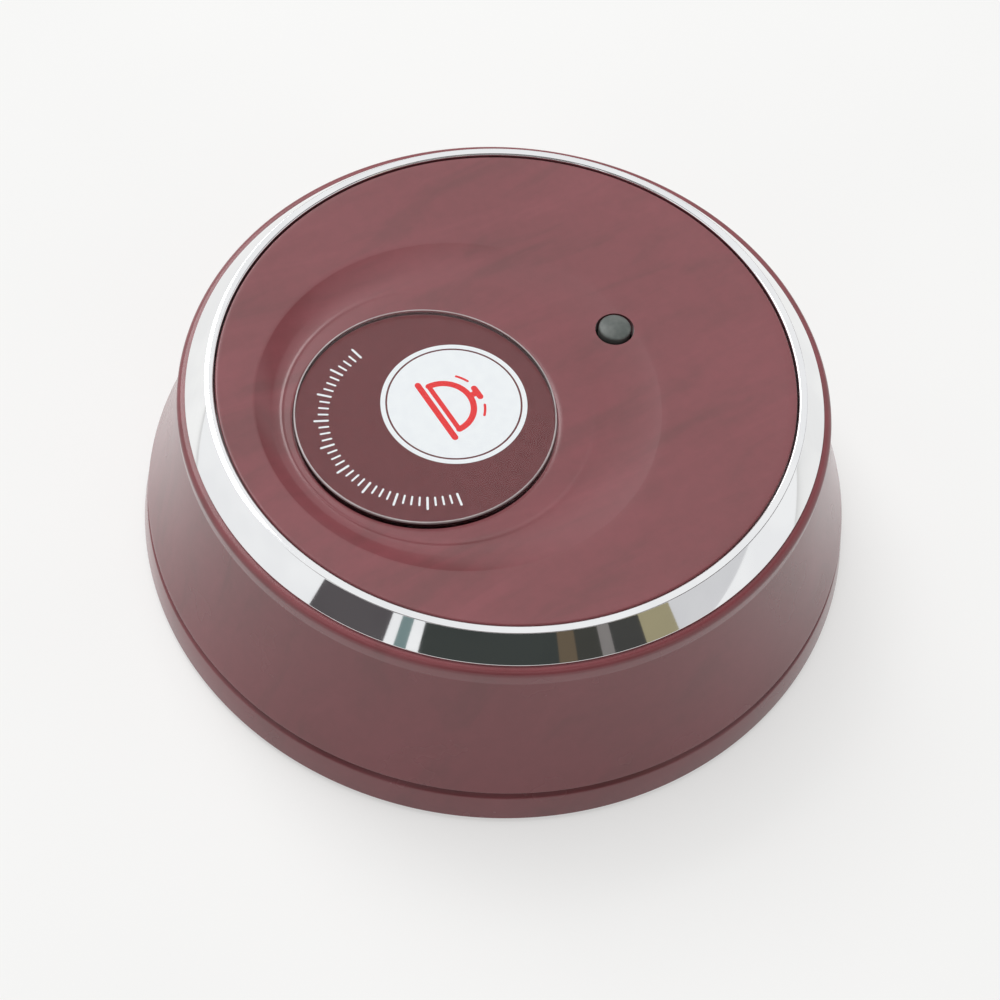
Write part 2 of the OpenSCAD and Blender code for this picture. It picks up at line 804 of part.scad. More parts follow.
module foot_place(i) {
    rotate([0, 0, 90 + i * 120]) translate([pad_r, 0, 0]) children();
}

module base_cover() {
    flange_top_r = foot_r - 0.5;
    flange_in_r = skirt_low_r - skirt_wall;
    soft = 0.15;
    color("#7a4448")
    difference() {
        union() {
            rotate_extrude($fn = fine)
                polygon([
                    [0, pad_proud], [foot_r - soft, pad_proud], [foot_r, pad_proud + soft],
                    [flange_top_r, parting_z - groove * 0.7],
                    [skirt_low_r - groove, parting_z],
                    [flange_in_r, parting_z], [flange_in_r, floor_z],
                    [bayonet_r, floor_z], [bayonet_r, bayonet_top_z],
                    [bayonet_r - bayonet_wall, bayonet_top_z],
                    [bayonet_r - bayonet_wall, floor_z], [0, floor_z]]);
            for (i = [0 : bayonet_n - 1])
                rotate([0, 0, i * 360 / bayonet_n])
                    sector(bayonet_r - bayonet_wall / 2, lug_r, lug_z, lug_z + lug_h,
                        -lug_deg / 2, lug_deg / 2);
        }
        for (i = [0 : 2])
            foot_place(i)
                translate([0, 0, pad_proud - 1])
                    cylinder(d = pad_d + 4 * slip, h = pad_t - pad_proud + 1, $fn = mid);
        coin_slot();
    }
}

module coin_slot() {
    translate([0, 0, pad_proud - 1]) {
        translate([-slot_l / 2, -slot_w / 2, 0]) cube([slot_l, slot_w, slot_depth + 1]);
        for (side = [-1, 1])
            translate([side * slot_l / 2, 0, 0])
                cylinder(d = slot_w, h = slot_depth + 1, $fn = 48);
    }
}

module rubber_feet() {
    color("#2b2b2d")
    for (i = [0 : 2])
        foot_place(i) cylinder(d = pad_d, h = pad_t, $fn = mid);
}

housing_skirt();
chrome_ring();
top_panel();
key_cup();
key_label();
key_window();
led_body();
led_leads();
circuit_board();
switch_body();
switch_frame();
switch_legs();
snap_dome();
switch_plunger();
battery_cell();
battery_holder();
contact_positive();
contact_negative();
encoder_chip();
chip_legs();
crystal_can();
rf_transistor();
chip_parts();
antenna_wire();
board_screws();
base_cover();
rubber_feet();
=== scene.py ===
import json
import math

import bmesh
import bpy
from mathutils import Matrix, Vector


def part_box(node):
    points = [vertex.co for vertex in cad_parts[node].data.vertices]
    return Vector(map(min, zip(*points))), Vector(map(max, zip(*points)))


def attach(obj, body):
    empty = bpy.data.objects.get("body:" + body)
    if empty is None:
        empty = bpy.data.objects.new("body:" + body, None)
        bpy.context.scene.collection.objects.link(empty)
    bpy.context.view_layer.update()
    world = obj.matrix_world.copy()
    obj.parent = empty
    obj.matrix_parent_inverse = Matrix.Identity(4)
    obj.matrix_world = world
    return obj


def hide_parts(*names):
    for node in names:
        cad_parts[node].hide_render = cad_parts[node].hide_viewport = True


# Looks of the waiter call button. Sizes are in millimetres until a mesh is made.
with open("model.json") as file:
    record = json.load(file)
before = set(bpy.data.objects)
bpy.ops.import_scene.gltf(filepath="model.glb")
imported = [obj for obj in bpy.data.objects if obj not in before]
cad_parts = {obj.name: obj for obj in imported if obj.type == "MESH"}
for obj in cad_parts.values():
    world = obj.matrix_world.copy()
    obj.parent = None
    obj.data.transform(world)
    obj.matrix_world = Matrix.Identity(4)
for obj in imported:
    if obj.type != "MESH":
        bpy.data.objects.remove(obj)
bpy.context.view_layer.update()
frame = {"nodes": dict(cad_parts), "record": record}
MM = 0.001
SIDES = 256


# ---------------------------------------------------------------- sizes
def corners(name):
    """Lowest and highest corner of a CAD node, in millimetres."""
    low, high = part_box(name)
    return low / MM, high / MM


def radius_and_y(name):
    """Radius of a round CAD node, and where its axis is along y."""
    low, high = corners(name)
    return (high.x - low.x) / 2, (high.y + low.y) / 2


skirt_low, skirt_high = corners("housing_skirt")
SKIRT_R = skirt_high.x
SKIRT_LOW_Z = skirt_low.z
LEDGE_Z = skirt_high.z
ring_high = corners("chrome_ring")[1]
CREST_Z = ring_high.z
RING_OUT_R = ring_high.x
PANEL_R = corners("top_panel")[1].x
WINDOW_R, KEY_Y = radius_and_y("key_window")
window_low, window_high = corners("key_window")
LABEL_LOW_Z, LABEL_Z = (corner.z for corner in corners("key_label"))
led_low, led_high = corners("led_body")
LED_COLLAR_R, LED_Y = radius_and_y("led_body")
base_low, base_high = corners("base_cover")
FOOT_R = base_high.x
BASE_LOW_Z = base_low.z
BOARD_Z = corners("circuit_board")[1].z

# Bezel, and its rib in the ledge's slot
RING_IN_R = 25.0
RING_LAND = 0.7
RING_FOOT_H = 0.2
CREST_ROUND = 0.14
RIB_R = RING_IN_R + RING_LAND
RIB_W = 0.6
RIB_H = 0.8
SLOT_PLAY = 0.1

# Skirt
LIP_R = RING_OUT_R + 0.75
LIP_H = 1.5
LIP_ROUND = 0.53
LIP_LOW_ROUND = 0.4
SKIRT_SAG = 0.25
SKIRT_WALL = 2.0
SKIRT_LOW_ROUND = 0.12
LEDGE_T = 1.8
LEDGE_R = RING_IN_R - 2.2
LEDGE_ROUND = 0.05
GROOVE = 0.4
GROOVE_ROUND = 0.06
FINE_ROUND = 0.03
EDGE_ROUND = 0.1

# Top panel with its dish and the key's well
PANEL_ROUND = 0.15
PANEL_GAP = 0.13
PANEL_EDGE_Z = CREST_Z - 0.2
PANEL_SAG = 1.0
DISH_R = 17.3
DISH_FRONT = 2.65
DISH_Y = DISH_FRONT + DISH_R - PANEL_R
DISH_FLOOR_R = 13.0
DISH_FLOOR_SHIFT = 2.1
DISH_FLOOR_Y = DISH_Y - DISH_FLOOR_SHIFT
WELL_Z = LABEL_LOW_Z - 0.5
WELL_R = WINDOW_R + 0.1
DISH_FLOOR_Z = WELL_Z + 0.8
DISH_WALL = 1.5
DISH_SKIN = 0.5
DISH_STRAIGHT = 0.5
DISH_FOOT = 0.85
DISH_BEAD = 0.05
DISH_STEPS = 80
UNDER_STEPS = 24
KEY_HOLE_R = 9.65
LED_R = 1.42
LED_HOLE_R = 1.7
LED_DOME = 0.15
LED_EDGE_ROUND = 0.2
COLLAR_H = 1.0
PEG_AT_R = RING_IN_R - 1.15
PEG_R = 0.7
PEG_LOW_Z = LEDGE_Z - 2.4
BOSS_AT_R = LEDGE_R - 0.4 - 2.4
BOSS_R = 2.3
BOSS_HOLE_R = 1.0
BOSS_HOLE_H = 2.7
BOSS_TOP_Z = LEDGE_Z + 0.1

# Base, its bayonet, coin slot and feet
PARTING_Z = SKIRT_LOW_Z - 0.15
FLOOR_Z = BASE_LOW_Z + 1.8
FOOT_CHAMFER = 0.15
FLANGE_DRAFT = 0.5
FLANGE_ROUND = 0.3
BAYONET_TOP_Z = base_high.z
BAYONET_WALL = 1.6
BAYONET_GAP = 0.3
LUG_REACH = 1.3
LUG_SWEEP = 16.0
LUG_TOP_Z = BAYONET_TOP_Z - 0.2
LUG_Z = LUG_TOP_Z - 1.4
CATCH_R = RING_IN_R + 2.29
CATCH_Z = SKIRT_LOW_Z + 0.85
CATCH_TOP_Z = CATCH_Z + 1.5
CATCH_START = -9.0
CATCH_SWEEP = 21.6
STOP_SWEEP = 4.0
COIN_SLOT = 16.0
COIN_SLOT_W = 2.2
COIN_SLOT_DEPTH = 0.8
PAD_AT_R = 26.5
PAD_R = 4.0
PAD_H = 1.0
PAD_PLAY = 0.1
PAD_DEPTH = 0.6
THIRDS = (0, 120, 240)
PAD_ANGLES = (90, 210, 330)
PEG_ANGLES = (60, 180, 300)
BOSS_ANGLES = (90, 235, 305)


# ---------------------------------------------------------------- mesh code
def finish_mesh(name, bm, sharp=40.0):
    """A smooth-shaded object from a bmesh in millimetres, sharp past that angle."""
    bmesh.ops.recalc_face_normals(bm, faces=bm.faces)
    bmesh.ops.scale(bm, vec=(MM, MM, MM), verts=bm.verts)
    mesh = bpy.data.meshes.new(name)
    bm.to_mesh(mesh)
    bm.free()
    for face in mesh.polygons:
        face.use_smooth = True
    mesh.set_sharp_from_angle(angle=math.radians(sharp))
    piece = bpy.data.objects.new(name, mesh)
    bpy.context.scene.collection.objects.link(piece)
    return piece


def add_loft(bm, rings, sides=SIDES, start=0.0, sweep=360.0):
    """Joins circles (centre_y, radius, z) in turn, and the last to the first. A
    height may be a function of x and y. A circle of radius 0 is one point. A sweep
    of under 360 degrees is closed at its ends."""
    whole = sweep >= 360.0
    count = sides if whole else sides + 1
    angles = [math.radians(start + sweep * k / sides) for k in range(count)]
    made = []
    for y, r, z in rings:
        if r == 0:
            made.append([bm.verts.new((0, y, z))])
            continue
        spots = [(r * math.cos(a), y + r * math.sin(a)) for a in angles]
        made.append([bm.verts.new((*p, z(*p) if callable(z) else z)) for p in spots])
    for i, ring in enumerate(made):
        other = made[(i + 1) % len(made)]
        if len(ring) == 1 and len(other) == 1:
            continue
        for k in range(count if whole else count - 1):
            k2 = (k + 1) % count
            if len(ring) == 1:
                bm.faces.new((ring[0], other[k2], other[k]))
            elif len(other) == 1:
                bm.faces.new((ring[k], ring[k2], other[0]))
            else:
                bm.faces.new((ring[k], ring[k2], other[k2], other[k]))
    if not whole:
        bm.faces.new([ring[0] for ring in made])
        bm.faces.new([ring[-1] for ring in reversed(made)])


def rounded(points, steps=6):
    """Corner points (r, z, radius) as a closed outline with rounded corners."""
    out = []
    n = len(points)
    for i, (r, z, radius) in enumerate(points):
        here = Vector((r, z))
        if radius <= 0:
            out.append((r, z))
            continue
        back = (Vector(points[i - 1][:2]) - here).normalized()
        on = (Vector(points[(i + 1) % n][:2]) - here).normalized()
        half = back.angle(on) / 2
        cut = radius / math.tan(half)
        centre = here + (back + on).normalized() * (radius / math.sin(half))
        first = here + back * cut - centre
        last = here + on * cut - centre
        turn = first.angle_signed(last)
        for k in range(steps + 1):
            a = -turn * k / steps
            c, s = math.cos(a), math.sin(a)
            out.append((centre.x + first.x * c - first.y * s,
                centre.y + first.x * s + first.y * c))
    return out


def add_turned(bm, outline, y=0.0, x=0.0, **options):
    """A solid of revolution about the vertical through (x, y)."""
    before = set(bm.verts)
    add_loft(bm, [(y, r, z) for r, z in outline], **options)
    if x:
        new = [v for v in bm.verts if v not in before]
        bmesh.ops.translate(bm, vec=(x, 0, 0), verts=new)


def add_around(bm, outline, angles, distance, sides):
    """The same solid of revolution at each angle, at that distance from the middle."""
    for angle in angles:
        a = math.radians(angle)
        add_turned(bm, outline, y=distance * math.sin(a), x=distance * math.cos(a), sides=sides)


def turned(name, outline, y=0.0, sharp=40.0, sides=SIDES):
    bm = bmesh.new()
    add_turned(bm, outline, y=y, sides=sides)
    return finish_mesh(name, bm, sharp)


def ring_outline(inner, outer, low, high):
    """The outline of a flat ring, or of a disc if its inner radius is 0."""
    return [(inner, low), (outer, low), (outer, high), (inner, high)]


def add_slab(bm, outline, z, t):
    """A flat plate of thickness t with that outline of (x, y)."""
    low = [bm.verts.new((x, y, z)) for x, y in outline]
    high = [bm.verts.new((x, y, z + t)) for x, y in outline]
    n = len(outline)
    bm.faces.new(high)
    bm.faces.new(low[::-1])
    for k in range(n):
        k2 = (k + 1) % n
        bm.faces.new((low[k], low[k2], high[k2], high[k]))


def less(piece, tool):
    """The piece without the tool's solid, as a bmesh in millimetres. Both objects go."""
    modifier = piece.modifiers.new("cut", "BOOLEAN")
    modifier.operation = "DIFFERENCE"
    modifier.solver = "EXACT"
    modifier.object = tool
    bpy.context.view_layer.update()
    shown = piece.evaluated_get(bpy.context.evaluated_depsgraph_get())
    bm = bmesh.new()
    bm.from_mesh(bpy.data.meshes.new_from_object(shown))
    bmesh.ops.scale(bm, vec=(1 / MM,) * 3, verts=bm.verts)
    for old in (piece, tool):
        bpy.data.objects.remove(old)
    return bm


# ---------------------------------------------------------------- materials
def srgb(r, g, b):
    """A colour as seen, 0 to 255, in the linear values of the shaders."""
    def linear(v):
        v /= 255
        return v / 12.92 if v <= 0.04045 else ((v + 0.055) / 1.055) ** 2.4
    return (linear(r), linear(g), linear(b), 1.0)


def mixed_shader(tree, share, first, second):
    """The first shader, turning into the second as the share goes from 0 to 1."""
    made = tree.nodes.new("ShaderNodeMixShader")
    for given, socket in zip((share, first, second), made.inputs):
        tree.links.new(given, socket)
    return made.outputs[0]


class Paint:
    """A Principled material with noise-driven colour, roughness and bump."""

    def __init__(self, name):
        self.material = bpy.data.materials.new(name)
        self.material.use_nodes = True
        self.tree = self.material.node_tree
        self.shader = self.tree.nodes["Principled BSDF"]
        self.place = self.new("TexCoord").outputs["Object"]

    def new(self, kind, **settings):
        made = self.tree.nodes.new("ShaderNode" + kind)
        for key, value in settings.items():
            setattr(made, key, value)
        return made

    def link(self, a, b):
        self.tree.links.new(a, b)

    def set(self, **values):
        names = {
            "rough": "Roughness", "metal": "Metallic", "ior": "IOR",
            "specular": "Specular IOR Level", "transmission": "Transmission Weight",
            "colour": "Base Color", "sheen": "Sheen Weight", "sheen_rough": "Sheen Roughness",
        }
        for key, value in values.items():
            self.shader.inputs[names[key]].default_value = value
        return self

    def show(self, shader):
        """Makes that shader what the material shows."""
        self.link(shader, self.tree.nodes["Material Output"].inputs["Surface"])

    def noise(self, size, detail=3.0, rough=0.5, stretch=(1, 1, 1), turn=0.0, warp=0.0):
        """Noise whose blobs are about size millimetres, stretched along the axes."""
        mapping = self.new("Mapping")
        mapping.inputs["Rotation"].default_value = (0, 0, math.radians(turn))
        mapping.inputs["Scale"].default_value = [1 / (size * MM * s) for s in stretch]
        self.link(self.place, mapping.inputs["Vector"])
        made = self.new("TexNoise")
        made.inputs["Scale"].default_value = 1.0
        made.inputs["Detail"].default_value = detail
        made.inputs["Roughness"].default_value = rough
        made.inputs["Distortion"].default_value = warp
        self.link(mapping.outputs["Vector"], made.inputs["Vector"])
        return made.outputs["Fac"]

    def ramp(self, value, stops):
        made = self.new("ValToRGB")
        made.color_ramp.interpolation = "EASE"
        elements = made.color_ramp.elements
        while len(elements) < len(stops):
            elements.new(0.5)
        for element, (at, colour) in zip(elements, stops):
            element.position = at
            element.color = colour
        self.link(value, made.inputs["Fac"])
        return made.outputs["Color"]

    def mix(self, share, a, b):
        made = self.new("Mix", data_type="RGBA")
        made.inputs[0].default_value = share
        sockets = [s for s in made.inputs if s.type == "RGBA"]
        for socket, given in zip(sockets, (a, b)):
            self.link(given, socket)
        return [s for s in made.outputs if s.type == "RGBA"][0]

    def colour(self, socket):
        self.link(socket, self.shader.inputs["Base Color"])

    def roughness(self, value, low, high):
        made = self.new("MapRange")
        made.inputs["To Min"].default_value = low
        made.inputs["To Max"].default_value = high
        self.link(value, made.inputs["Value"])
        self.link(made.outputs["Result"], self.shader.inputs["Roughness"])

    def bump(self, value, height, strength):
        """Bump of that height in millimetres."""
        made = self.new("Bump")
        made.inputs["Strength"].default_value = strength
        made.inputs["Distance"].default_value = height * MM
        self.link(value, made.inputs["Height"])
        self.link(made.outputs["Normal"], self.shader.inputs["Normal"])


def satin_burgundy(name, dark, mid, light, level, turn=0.0):
    """Moulded burgundy plastic with soft brown and red streaks. Level is its lowest
    and highest roughness, and turn the direction of the streaks in degrees."""
    paint = Paint(name).set(sheen=0.38, sheen_rough=0.3)
    streaks = paint.noise(9, 4, 0.55, stretch=(0.35, 1.6, 1), turn=turn, warp=0.6)
    clouds = paint.noise(16, 2, 0.5)
    grain = paint.noise(1.1, 3, 0.6)
    base = paint.ramp(streaks, [(0.3, dark), (0.52, mid), (0.74, light)])
    base = paint.mix(0.5, base, paint.ramp(clouds, [(0.3, mid), (0.7, light)]))
    base = paint.mix(0.1, base, paint.ramp(grain, [(0.3, dark), (0.7, light)]))
    paint.colour(base)
    paint.roughness(paint.noise(5, 3), *level)
    paint.bump(paint.noise(0.35, 2), 0.006, 0.35)
    return paint.material


SKIRT_TONES = srgb(108, 62, 63), srgb(125, 66, 70), srgb(135, 71, 77)
PANEL_TONES = srgb(100, 62, 62), srgb(122, 67, 71), srgb(135, 73, 79)
materials = {
    "burgundy_panel": satin_burgundy("burgundy_panel", *PANEL_TONES, level=(0.21, 0.27), turn=35),
    "burgundy_plastic": satin_burgundy("burgundy_plastic", *SKIRT_TONES, level=(0.23, 0.3)),
    "key_plastic": satin_burgundy("key_plastic", *SKIRT_TONES, level=(0.34, 0.42)),
}


def printed(name, colour, other):
    """Matt print, flat but for a fine mottle."""
    paint = Paint(name).set(specular=0.0)
    paint.colour(paint.ramp(paint.noise(0.9, 3, 0.6), [(0.3, colour), (0.7, other)]))
    paint.roughness(paint.noise(2, 2), 0.42, 0.52)
    return paint.material


def plastic(name, colour, other, low=0.4, high=0.55, size=0.5):
    """Moulded plastic or rubber whose grain is about size millimetres."""
    paint = Paint(name)
    paint.colour(paint.ramp(paint.noise(3, 3), [(0.35, colour), (0.65, other)]))
    paint.roughness(paint.noise(2, 2), low, high)
    paint.bump(paint.noise(size, 2), 0.01, 0.4)
    return paint.material


def metal(name, colour, other):
    """Drawn or tinned metal, slightly uneven in tone and gloss."""
    paint = Paint(name).set(metal=1.0)
    paint.colour(paint.ramp(paint.noise(2.5, 3), [(0.35, colour), (0.65, other)]))
    paint.roughness(paint.noise(1.5, 3), 0.15, 0.3)
    paint.bump(paint.noise(0.3, 3), 0.003, 0.4)
    return paint.material


def chrome():
    """Bright plating: hardly any grain, with a slight waviness of the moulding."""
    paint = Paint("chrome").set(metal=1.0)
    paint.colour(paint.ramp(paint.noise(6, 2),
        [(0.4, (0.86, 0.865, 0.875, 1)), (0.6, (0.9, 0.905, 0.91, 1))]))
    paint.roughness(paint.noise(1.2, 4, 0.65), 0.02, 0.06)
    paint.bump(paint.noise(4, 2), 0.002, 0.15)
    return paint.material


def clear():
    """Clear acrylic that lets the lamps through to the label under it."""
    paint = Paint("clear_acrylic").set(transmission=1.0, ior=1.33, colour=(0.97, 0.98, 0.98, 1))
    paint.roughness(paint.noise(3, 3), 0.0, 0.03)
    path = paint.new("LightPath")
    through = paint.new("BsdfTransparent")
    through.inputs["Color"].default_value = (0.96, 0.97, 0.97, 1)
    shown = paint.shader.outputs[0]
    for ray in ("Is Diffuse Ray", "Is Shadow Ray"):
        shown = mixed_shader(paint.tree, path.outputs[ray], shown, through.outputs[0])
    paint.show(shown)
    return paint.material


def smoked_lens():
    """The lamp's smoked plastic, nearly opaque and half matt."""
    paint = Paint("lamp_lens").set(ior=1.45, transmission=0.1)
    paint.colour(paint.ramp(paint.noise(0.8, 2),
        [(0.3, srgb(88, 94, 91)), (0.7, srgb(106, 110, 107))]))
    paint.roughness(paint.noise(0.5, 2), 0.3, 0.4)
    return paint.material


def board_paint():
    """Solder resist with the faint relief of copper tracks under it."""
    paint = Paint("board")
    tracks = paint.new("TexBrick")
    tracks.inputs["Scale"].default_value = 1 / (4 * MM)
    tracks.inputs["Mortar Size"].default_value = 0.03
    tracks.inputs["Color1"].default_value = srgb(52, 110, 70)
    tracks.inputs["Color2"].default_value = srgb(46, 100, 63)
    tracks.inputs["Mortar"].default_value = srgb(74, 138, 92)
    paint.link(paint.place, tracks.inputs["Vector"])
    paint.colour(paint.mix(0.25, tracks.outputs["Color"],
        paint.ramp(paint.noise(3, 3), [(0.3, srgb(38, 88, 54)), (0.7, srgb(62, 122, 80))])))
    paint.roughness(paint.noise(1, 3), 0.28, 0.42)
    paint.bump(tracks.outputs["Fac"], 0.03, 0.5)
    return paint.material


materials.update({
    "chrome": chrome(),
    "clear_acrylic": clear(),
    "lamp_lens": smoked_lens(),
    "label_print": printed("label_print", srgb(106, 54, 57), srgb(114, 60, 63)),
    "tinned_metal": metal("tinned_metal", (0.62, 0.63, 0.64, 1), (0.74, 0.75, 0.76, 1)),
    "spring_brass": metal("spring_brass", (0.62, 0.48, 0.22, 1), (0.74, 0.58, 0.3, 1)),
    "copper_wire": metal("copper_wire", (0.62, 0.3, 0.13, 1), (0.72, 0.38, 0.18, 1)),
    "board": board_paint(),
    "black_plastic": plastic("black_plastic", srgb(34, 36, 38), srgb(46, 48, 50)),
    "plunger_plastic": plastic("plunger_plastic", srgb(222, 216, 203), srgb(234, 229, 218)),
    "cell_sleeve": plastic("cell_sleeve", srgb(168, 58, 44), srgb(184, 70, 54), 0.25, 0.35),
    "chip_ceramic": plastic("chip_ceramic", srgb(196, 178, 140), srgb(210, 194, 158)),
    "rubber": plastic("rubber", srgb(34, 34, 36), srgb(46, 46, 48), 0.65, 0.8, 0.25),
})
for row in frame["record"]["subparts"]:
    cad = frame["nodes"][row["node"]]
    cad.data.materials.clear()
    cad.data.materials.append(materials[row["material_slot"]])


def place(piece, body, slot, *nodes, paint=None):
    """Gives the piece its material (that of the slot unless a paint is given) and its body, and
    hides the nodes it stands for.
    """
    piece.data.materials.clear()
    piece.data.materials.append(paint or materials[slot])
    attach(piece, body)
    if nodes:
        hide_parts(*nodes)


# ---------------------------------------------------------------- housing
def skirt_radius(z):
    """Outer radius of the skirt at that height; its side is slightly hollow."""
    t = (z - SKIRT_LOW_Z - GROOVE) / (LEDGE_Z - LIP_H - SKIRT_LOW_Z - GROOVE)
    return SKIRT_R + (LIP_R - SKIRT_R) * t - 4 * SKIRT_SAG * t * (1 - t)


def evenly(low, high, n):
    """The values from low to high in n equal steps."""
    return [low + (high - low) * k / n for k in range(n + 1)]


def skirt():
    """The skirt with its lip, ledge and rib slot, and the catches of the bayonet."""
    low, top = SKIRT_LOW_Z + GROOVE, LEDGE_Z - LIP_H
    outer = [(skirt_radius(z), z, 0) for z in evenly(low, top, 24)]
    outer[0] = (*outer[0][:2], SKIRT_LOW_ROUND)
    outer[-1] = (*outer[-1][:2], LIP_LOW_ROUND)
    roof_z = LEDGE_Z - LEDGE_T
    inner = [(skirt_radius(z) - SKIRT_WALL, z, 0) for z in evenly(roof_z, SKIRT_LOW_Z, 12)]
    slot_in, slot_out = RIB_R - SLOT_PLAY, RIB_R + RIB_W + SLOT_PLAY
    slot_z = LEDGE_Z - RIB_H - SLOT_PLAY
    bm = bmesh.new()
    add_turned(bm, rounded(
        [(SKIRT_R - GROOVE, SKIRT_LOW_Z, GROOVE_ROUND)] + outer
        + [(LIP_R, LEDGE_Z, LIP_ROUND), (slot_out, LEDGE_Z, FINE_ROUND), (slot_out, slot_z, 0),
           (slot_in, slot_z, 0), (slot_in, LEDGE_Z, FINE_ROUND),
           (LEDGE_R, LEDGE_Z, LEDGE_ROUND), (LEDGE_R, roof_z, LEDGE_ROUND)] + inner))
    in_wall = skirt_radius(LUG_TOP_Z) - SKIRT_WALL / 2
    for turn in THIRDS:
        add_turned(bm, ring_outline(CATCH_R, in_wall, CATCH_Z, CATCH_TOP_Z),
            sides=16, start=turn + CATCH_START, sweep=CATCH_SWEEP)
        add_turned(bm, ring_outline(CATCH_R, in_wall, CATCH_TOP_Z, LUG_TOP_Z),
            sides=8, start=turn + CATCH_START + CATCH_SWEEP - STOP_SWEEP, sweep=STOP_SWEEP)
    return finish_mesh("skirt_shell", bm, 30)


def bezel():
    rib_out = RIB_R + RIB_W
    rib_z = LEDGE_Z - RIB_H
    return turned("bezel_ring", rounded([
        (RING_IN_R, LEDGE_Z, FINE_ROUND), (RING_IN_R, CREST_Z, CREST_ROUND),
        (RING_IN_R + RING_LAND, CREST_Z, EDGE_ROUND),
        (RING_OUT_R, LEDGE_Z + RING_FOOT_H, EDGE_ROUND), (RING_OUT_R, LEDGE_Z, FINE_ROUND),
        (rib_out, LEDGE_Z, 0), (rib_out, rib_z, EDGE_ROUND),
        (RIB_R, rib_z, EDGE_ROUND), (RIB_R, LEDGE_Z, 0)], 8), sides=360, sharp=60)


def face_z(x, y):
    """Height of the panel's face, a shallow bowl."""
    return PANEL_EDGE_Z - PANEL_SAG * (1 - (x * x + y * y) / PANEL_R ** 2)


def wall_share(u):
    """How far down the dish's wall is at the share u of its width: straight, then
    a fillet, then level with a faint bead."""
    steep = 2 / (DISH_STRAIGHT + DISH_FOOT)
    if u < DISH_STRAIGHT:
        return steep * u
    if u < DISH_FOOT:
        return 1 - steep * (DISH_FOOT - u) ** 2 / (2 * (DISH_FOOT - DISH_STRAIGHT))
    return 1 - DISH_BEAD * math.sin(math.pi * (u - DISH_FOOT) / (1 - DISH_FOOT)) ** 2


def dish_ring(u, skin=0.0, drop=0.0, highest=1000.0):
    """A ring of the dish at the share u of its wall, grown by skin, sunk by drop."""
    share = wall_share(u)

    def height(x, y):
        face = face_z(x, y)
        return min(face + (DISH_FLOOR_Z - face) * share - drop, highest)
    return (DISH_Y + (DISH_FLOOR_Y - DISH_Y) * u,
        DISH_R + skin + (DISH_FLOOR_R - DISH_R) * u, height)


def panel():
    """The top panel: one loft from its edge through the dish to the key's hole,
    and back along its underside."""
    def between(a, b, n, z):
        return [(a[0] + (b[0] - a[0]) * k / n, a[1] + (b[1] - a[1]) * k / n, z)
            for k in range(1, n)]

    edge_r = RING_IN_R - PANEL_GAP
    edge_z = face_z(edge_r - PANEL_ROUND, 0)
    edge = [(0, r, z) for r, z in rounded([
        (edge_r, LEDGE_Z, EDGE_ROUND), (edge_r, edge_z, PANEL_ROUND), (0, edge_z, 0),
        (0, LEDGE_Z, 0)], 10) if r > 1]
    dish = [dish_ring(i / DISH_STEPS) for i in range(DISH_STEPS + 1)]
    under_z = WELL_Z - DISH_WALL
    well_out = WELL_R + DISH_WALL - 0.15
    well = [(KEY_Y, r, z) for r, z in (
        (WELL_R + EDGE_ROUND, DISH_FLOOR_Z), (WELL_R + FINE_ROUND, DISH_FLOOR_Z - FINE_ROUND),
        (WELL_R, DISH_FLOOR_Z - EDGE_ROUND), (WELL_R, WELL_Z),
        (KEY_HOLE_R + EDGE_ROUND, WELL_Z), (KEY_HOLE_R, WELL_Z - EDGE_ROUND),
        (KEY_HOLE_R, under_z), (well_out, under_z), (well_out, DISH_FLOOR_Z - DISH_WALL))]
    under = [dish_ring(i / UNDER_STEPS, DISH_SKIN, DISH_WALL, LEDGE_Z)
        for i in range(UNDER_STEPS * 3 // 4, -1, -1)]
    bm = bmesh.new()
    add_loft(bm, edge + between(edge[-1], dish[0], 16, face_z) + dish
        + between(dish[-1], well[0], 6, DISH_FLOOR_Z) + well + under)
    bore = turned("bore", ring_outline(0, LED_HOLE_R, BOARD_Z, CREST_Z + 1), y=LED_Y, sides=96)
    bm = less(finish_mesh("dish_panel", bm, 35), bore)
    peg_top, peg_tip = LEDGE_Z + 0.4, PEG_R - EDGE_ROUND
    add_around(bm, [(0, PEG_LOW_Z), (peg_tip, PEG_LOW_Z), (PEG_R, PEG_LOW_Z + EDGE_ROUND),
        (PEG_R, peg_top), (0, peg_top)], PEG_ANGLES, PEG_AT_R, 32)
    hole_z = BOARD_Z + BOSS_HOLE_H
    add_around(bm, [(BOSS_HOLE_R, BOARD_Z), (BOSS_R, BOARD_Z), (BOSS_R, BOSS_TOP_Z),
        (0, BOSS_TOP_Z), (0, hole_z), (BOSS_HOLE_R, hole_z)], BOSS_ANGLES, BOSS_AT_R, 48)
    return finish_mesh("top_panel_shell", bm, 35)


